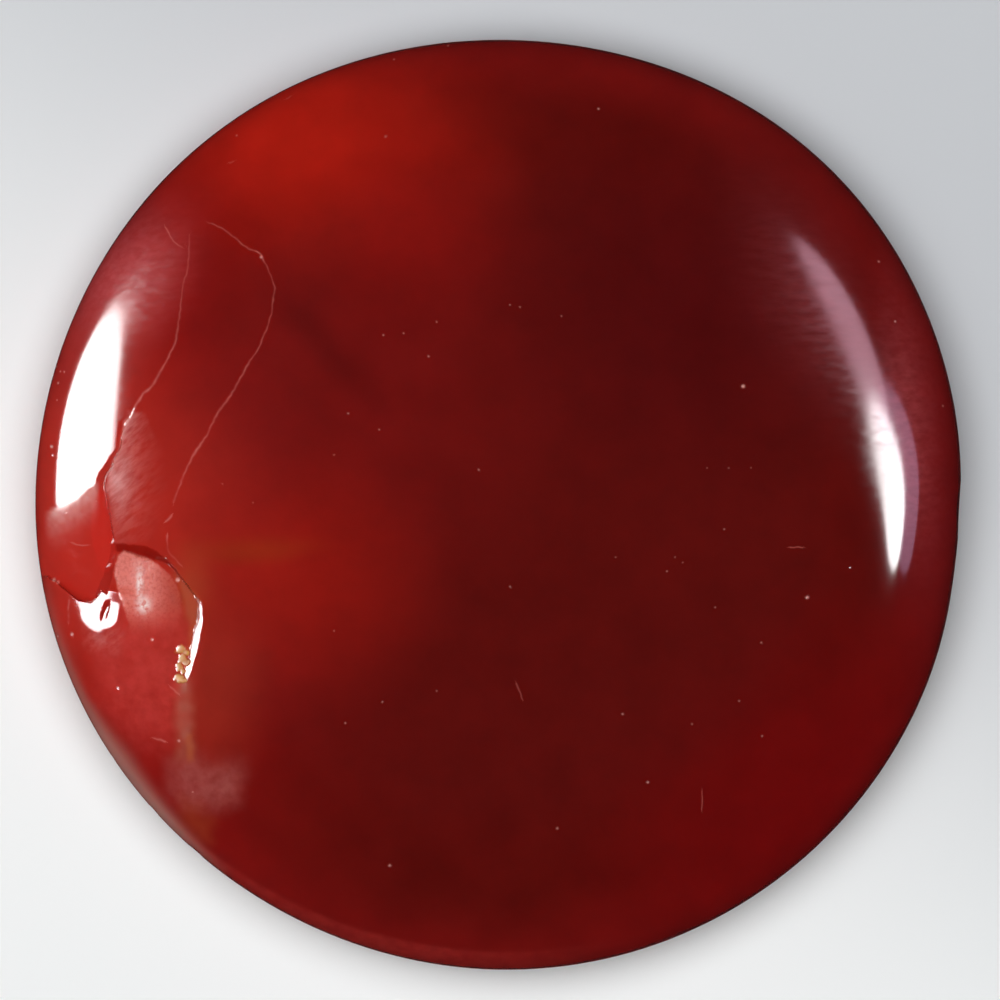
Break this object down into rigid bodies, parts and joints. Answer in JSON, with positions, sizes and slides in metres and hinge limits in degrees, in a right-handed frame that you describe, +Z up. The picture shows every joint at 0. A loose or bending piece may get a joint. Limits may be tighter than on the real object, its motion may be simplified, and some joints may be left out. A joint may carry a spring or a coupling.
{
  "type": "round polished agate cabochon",
  "caption": "Round, low-domed stone of translucent red agate, polished all over, with a flat ground back and an old broken corner on its left shoulder.",
  "frame": {"origin": "middle of the flat back, on the surface that the stone lies on", "axes": "+Z up through the top of the dome, +X to the right and +Y towards the top of the stone as it is looked down on"},
  "size_m": [0.0298, 0.03, 0.006],
  "materials": {
    "polished_agate": "high gloss, translucent"
  },
  "bodies": {
    "root": {"cabochon": "polished_agate"}
  },
  "joints": []
}
